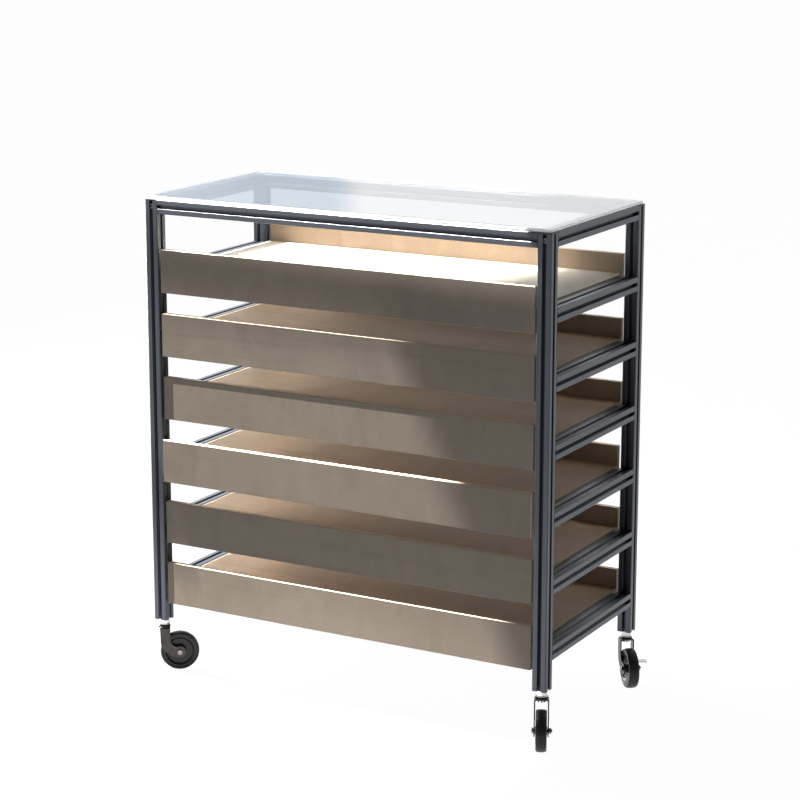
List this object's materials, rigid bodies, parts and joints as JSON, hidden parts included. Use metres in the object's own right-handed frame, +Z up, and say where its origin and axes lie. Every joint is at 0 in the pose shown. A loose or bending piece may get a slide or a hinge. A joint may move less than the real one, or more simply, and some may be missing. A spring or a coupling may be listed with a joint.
{
  "type": "mobile tray filing cabinet",
  "caption": "Open-frame filing cabinet of dark slotted aluminium profile with shallow pull-out plywood trays on side runners, a clear glass top and swivel casters with side brakes.",
  "frame": {"origin": "middle of the frame's footprint, on the floor", "axes": "+X to the right seen from the front, +Y from the front to the back, +Z up; the trays pull out towards -Y"},
  "size_m": [1.004, 0.544, 1.0312],
  "materials": {
    "profile": "dark graphite anodised, satin",
    "cap": "black moulded, matt",
    "glass": "clear float glass, polished edges",
    "pad": "clear soft plastic",
    "bright_steel": "bright plated",
    "zinc": "zinc plated",
    "runner": "black coated steel",
    "plywood": "taupe stained plywood faces, pale edges",
    "fork": "dark nickel, satin",
    "wheel_core": "black moulded",
    "tyre": "black rubber"
  },
  "bodies": {
    "frame": {"post_front_left": "profile", "post_front_right": "profile", "post_back_left": "profile", "post_back_right": "profile", "top_rail_front": "profile", "top_rail_back": "profile", "top_rail_left": "profile", "top_rail_right": "profile", "side_rails_left": "profile", "side_rails_right": "profile", "post_caps": "cap", "glass_top": "glass", "glass_pads": "pad", "top_rail_screws": "bright_steel", "slot_fasteners": "zinc", "runner_channels": "runner", "runner_screws": "zinc", "caster_stems": "bright_steel"},
    "tray_1": {"tray_1_floor": "plywood", "tray_1_front": "plywood", "tray_1_back": "plywood", "tray_1_runners": "runner"},
    "tray_2": {"tray_2_floor": "plywood", "tray_2_front": "plywood", "tray_2_back": "plywood", "tray_2_runners": "runner"},
    "tray_3": {"tray_3_floor": "plywood", "tray_3_front": "plywood", "tray_3_back": "plywood", "tray_3_runners": "runner"},
    "tray_4": {"tray_4_floor": "plywood", "tray_4_front": "plywood", "tray_4_back": "plywood", "tray_4_runners": "runner"},
    "tray_5": {"tray_5_floor": "plywood", "tray_5_front": "plywood", "tray_5_back": "plywood", "tray_5_runners": "runner"},
    "tray_6": {"tray_6_floor": "plywood", "tray_6_front": "plywood", "tray_6_back": "plywood", "tray_6_runners": "runner"},
    "fork_front_left": {"caster_fork_front_left": "fork", "caster_axle_front_left": "bright_steel"},
    "wheel_front_left": {"wheel_hub_front_left": "wheel_core", "wheel_tyre_front_left": "tyre"},
    "fork_front_right": {"caster_fork_front_right": "fork", "caster_axle_front_right": "bright_steel"},
    "wheel_front_right": {"wheel_hub_front_right": "wheel_core", "wheel_tyre_front_right": "tyre"},
    "fork_back_left": {"caster_fork_back_left": "fork", "caster_axle_back_left": "bright_steel"},
    "wheel_back_left": {"wheel_hub_back_left": "wheel_core", "wheel_tyre_back_left": "tyre"},
    "fork_back_right": {"caster_fork_back_right": "fork", "caster_axle_back_right": "bright_steel"},
    "wheel_back_right": {"wheel_hub_back_right": "wheel_core", "wheel_tyre_back_right": "tyre"},
    "brake_back_left": {"brake_lever_back_left": "zinc"},
    "brake_back_right": {"brake_lever_back_right": "zinc"}
  },
  "joints": [
    {"name": "tray_1_slide", "type": "slide", "parent": "frame", "child": "tray_1", "axis": [0, -1, 0], "range_m": [-0.003, 0.257]},
    {"name": "tray_2_slide", "type": "slide", "parent": "frame", "child": "tray_2", "axis": [0, -1, 0], "range_m": [-0.003, 0.257]},
    {"name": "tray_3_slide", "type": "slide", "parent": "frame", "child": "tray_3", "axis": [0, -1, 0], "range_m": [0, 0.26]},
    {"name": "tray_4_slide", "type": "slide", "parent": "frame", "child": "tray_4", "axis": [0, -1, 0], "range_m": [-0.008, 0.252]},
    {"name": "tray_5_slide", "type": "slide", "parent": "frame", "child": "tray_5", "axis": [0, -1, 0], "range_m": [-0.001, 0.259]},
    {"name": "tray_6_slide", "type": "slide", "parent": "frame", "child": "tray_6", "axis": [0, -1, 0], "range_m": [-0.001, 0.259]},
    {"name": "caster_swivel_front_left", "type": "hinge", "parent": "frame", "child": "fork_front_left", "pos_m": [-0.45, -0.205, 0.099], "axis": [0, 0, 1], "continuous": true},
    {"name": "wheel_spin_front_left", "type": "hinge", "parent": "fork_front_left", "child": "wheel_front_left", "pos_m": [-0.4236, -0.18692, 0.042], "axis": [-0.565, 0.8251, 0], "continuous": true},
    {"name": "caster_swivel_front_right", "type": "hinge", "parent": "frame", "child": "fork_front_right", "pos_m": [0.45, -0.205, 0.099], "axis": [0, 0, 1], "continuous": true},
    {"name": "wheel_spin_front_right", "type": "hinge", "parent": "fork_front_right", "child": "wheel_front_right", "pos_m": [0.46352, -0.234, 0.042], "axis": [0.9063, 0.4226, 0], "continuous": true},
    {"name": "caster_swivel_back_left", "type": "hinge", "parent": "frame", "child": "fork_back_left", "pos_m": [-0.45, 0.205, 0.099], "axis": [0, 0, 1], "continuous": true},
    {"name": "wheel_spin_back_left", "type": "hinge", "parent": "fork_back_left", "child": "wheel_back_left", "pos_m": [-0.46881, 0.23089, 0.042], "axis": [-0.809, -0.5878, 0], "continuous": true},
    {"name": "caster_swivel_back_right", "type": "hinge", "parent": "frame", "child": "fork_back_right", "pos_m": [0.45, 0.205, 0.099], "axis": [0, 0, 1], "continuous": true},
    {"name": "wheel_spin_back_right", "type": "hinge", "parent": "fork_back_right", "child": "wheel_back_right", "pos_m": [0.47014, 0.18013, 0.042], "axis": [0.7771, 0.6293, 0], "continuous": true},
    {"name": "brake_turn_back_left", "type": "hinge", "parent": "fork_back_left", "child": "brake_back_left", "pos_m": [-0.46881, 0.23089, 0.042], "axis": [-0.809, -0.5878, 0], "range_deg": [0, 75]},
    {"name": "brake_turn_back_right", "type": "hinge", "parent": "fork_back_right", "child": "brake_back_right", "pos_m": [0.47014, 0.18013, 0.042], "axis": [0.7771, 0.6293, 0], "range_deg": [0, 75]}
  ]
}
